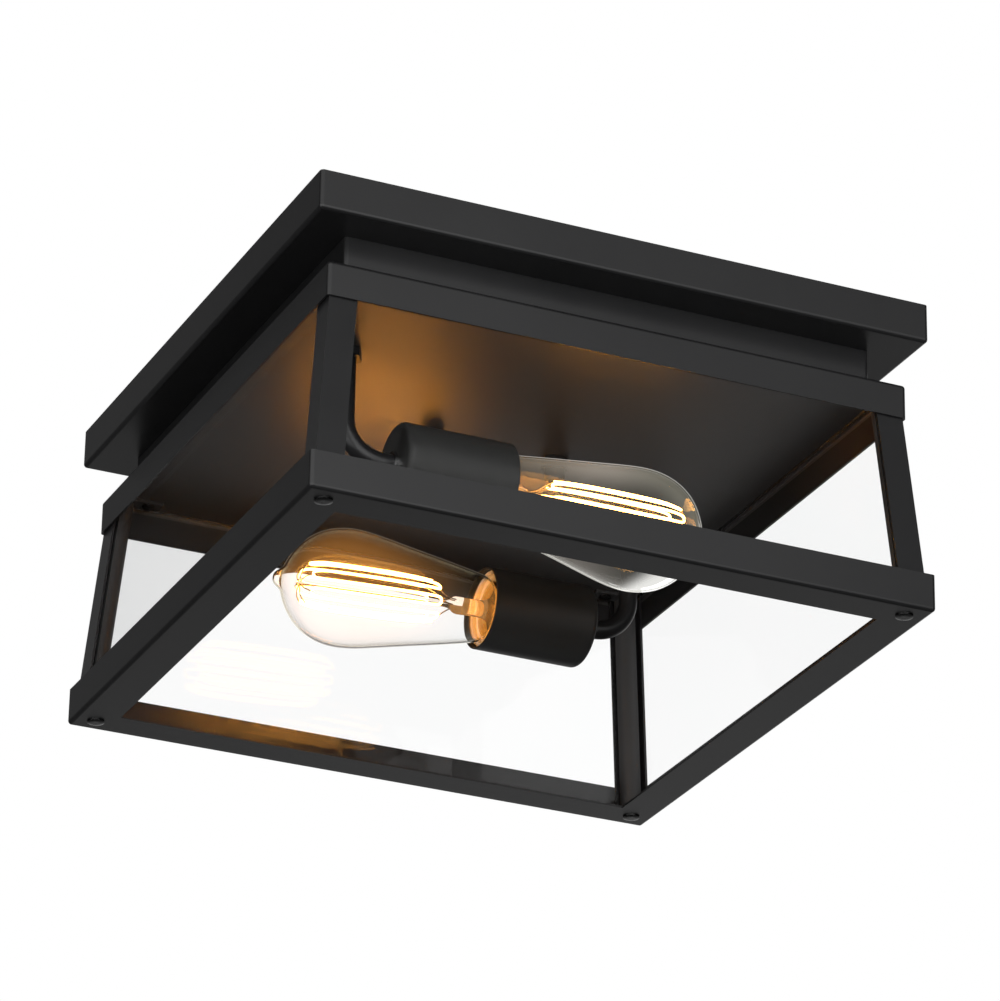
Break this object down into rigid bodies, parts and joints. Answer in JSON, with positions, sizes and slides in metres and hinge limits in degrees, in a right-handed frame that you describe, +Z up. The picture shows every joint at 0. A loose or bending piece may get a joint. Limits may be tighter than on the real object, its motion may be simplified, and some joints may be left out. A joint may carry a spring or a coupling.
{
  "type": "flush mount ceiling light",
  "caption": "Square flush mount ceiling light: a stepped black metal pan over an open-bottomed cage of leaning clear glass panes, with bent-arm sockets and teardrop filament bulbs.",
  "frame": {"origin": "centre of the crossbar's slots on the ceiling plane, in the middle of the pan", "axes": "+Z up into the ceiling, +X along the front edge to the right, +Y from the front to the back"},
  "size_m": [0.3312, 0.3312, 0.1687],
  "materials": {
    "black_coat": "satin black powder coat",
    "black_screw": "black oxide",
    "zinc": "zinc plated",
    "green_screw": "green plated",
    "pane_glass": "clear, polished",
    "porcelain": "glazed white",
    "contact_brass": "bright",
    "cap_brass": "rolled thread",
    "cap_insulator": "black glass",
    "solder": "soldered",
    "bulb_glass": "clear",
    "support_wire": "drawn wire",
    "filament": "lit"
  },
  "bodies": {
    "fixture": {"ceiling_pan": "black_coat", "neck_box": "black_coat", "cage_tray": "black_coat", "post_front_left": "black_coat", "post_front_right": "black_coat", "post_back_left": "black_coat", "post_back_right": "black_coat", "column_front_left": "black_coat", "column_front_right": "black_coat", "column_back_left": "black_coat", "column_back_right": "black_coat", "front_arm": "black_coat", "back_arm": "black_coat", "front_socket_cup": "black_coat", "back_socket_cup": "black_coat", "arm_lower_nuts": "black_coat", "cap_nuts": "black_coat", "foot_screws": "black_screw", "crossbar": "zinc", "crossbar_studs": "zinc", "stud_nuts": "zinc", "arm_upper_nuts": "zinc", "arm_collars": "zinc", "ground_screw": "green_screw", "front_lampholder": "porcelain", "back_lampholder": "porcelain", "front_screw_shell": "contact_brass", "back_screw_shell": "contact_brass", "front_centre_contact": "contact_brass", "back_centre_contact": "contact_brass"},
    "lower_frame": {"bottom_frame": "black_coat", "frame_screws": "black_screw"},
    "front_pane": {"glass_front": "pane_glass"},
    "back_pane": {"glass_back": "pane_glass"},
    "left_pane": {"glass_left": "pane_glass"},
    "right_pane": {"glass_right": "pane_glass"},
    "front_bulb_base": {"front_bulb_cap": "cap_brass", "front_bulb_insulator": "cap_insulator", "front_bulb_button": "solder"},
    "front_bulb_glass": {"front_bulb_envelope": "bulb_glass", "front_bulb_stem": "bulb_glass", "front_bulb_wires": "support_wire", "front_bulb_filament": "filament"},
    "back_bulb_base": {"back_bulb_cap": "cap_brass", "back_bulb_insulator": "cap_insulator", "back_bulb_button": "solder"},
    "back_bulb_glass": {"back_bulb_envelope": "bulb_glass", "back_bulb_stem": "bulb_glass", "back_bulb_wires": "support_wire", "back_bulb_filament": "filament"}
  },
  "joints": [
    {"name": "frame_drop", "type": "slide", "parent": "fixture", "child": "lower_frame", "axis": [0, 0, -1], "range_m": [0, 0.03]},
    {"name": "front_pane_drop", "type": "slide", "parent": "fixture", "child": "front_pane", "axis": [0, -0.0776, -0.997], "range_m": [0, 0.0302]},
    {"name": "back_pane_drop", "type": "slide", "parent": "fixture", "child": "back_pane", "axis": [0, 0.0776, -0.997], "range_m": [0, 0.0302]},
    {"name": "left_pane_drop", "type": "slide", "parent": "fixture", "child": "left_pane", "axis": [-0.0776, 0, -0.997], "range_m": [0, 0.0302]},
    {"name": "right_pane_drop", "type": "slide", "parent": "fixture", "child": "right_pane", "axis": [0.0776, 0, -0.997], "range_m": [0, 0.0302]},
    {"name": "front_bulb_out", "type": "slide", "parent": "fixture", "child": "front_bulb_base", "axis": [0.9962, 0, -0.0872], "range_m": [0, 0.0218]},
    {"name": "front_bulb_turn", "type": "hinge", "parent": "front_bulb_base", "child": "front_bulb_glass", "pos_m": [-0.0484, -0.071, -0.101], "axis": [0.9962, 0, -0.0872], "range_deg": [0, 2160]},
    {"name": "back_bulb_out", "type": "slide", "parent": "fixture", "child": "back_bulb_base", "axis": [-0.9993, 0, -0.0384], "range_m": [0, 0.0218]},
    {"name": "back_bulb_turn", "type": "hinge", "parent": "back_bulb_base", "child": "back_bulb_glass", "pos_m": [0.0453, 0.071, -0.101], "axis": [-0.9993, 0, -0.0384], "range_deg": [0, 2160]}
  ],
  "couplings": [
    {"joint": "front_pane_drop", "follows": "frame_drop", "ratio": 1.003},
    {"joint": "back_pane_drop", "follows": "frame_drop", "ratio": 1.003},
    {"joint": "left_pane_drop", "follows": "frame_drop", "ratio": 1.003},
    {"joint": "right_pane_drop", "follows": "frame_drop", "ratio": 1.003},
    {"joint": "front_bulb_out", "follows": "front_bulb_turn", "m_per_rad": 0.00057773},
    {"joint": "back_bulb_out", "follows": "back_bulb_turn", "m_per_rad": 0.00057773}
  ]
}
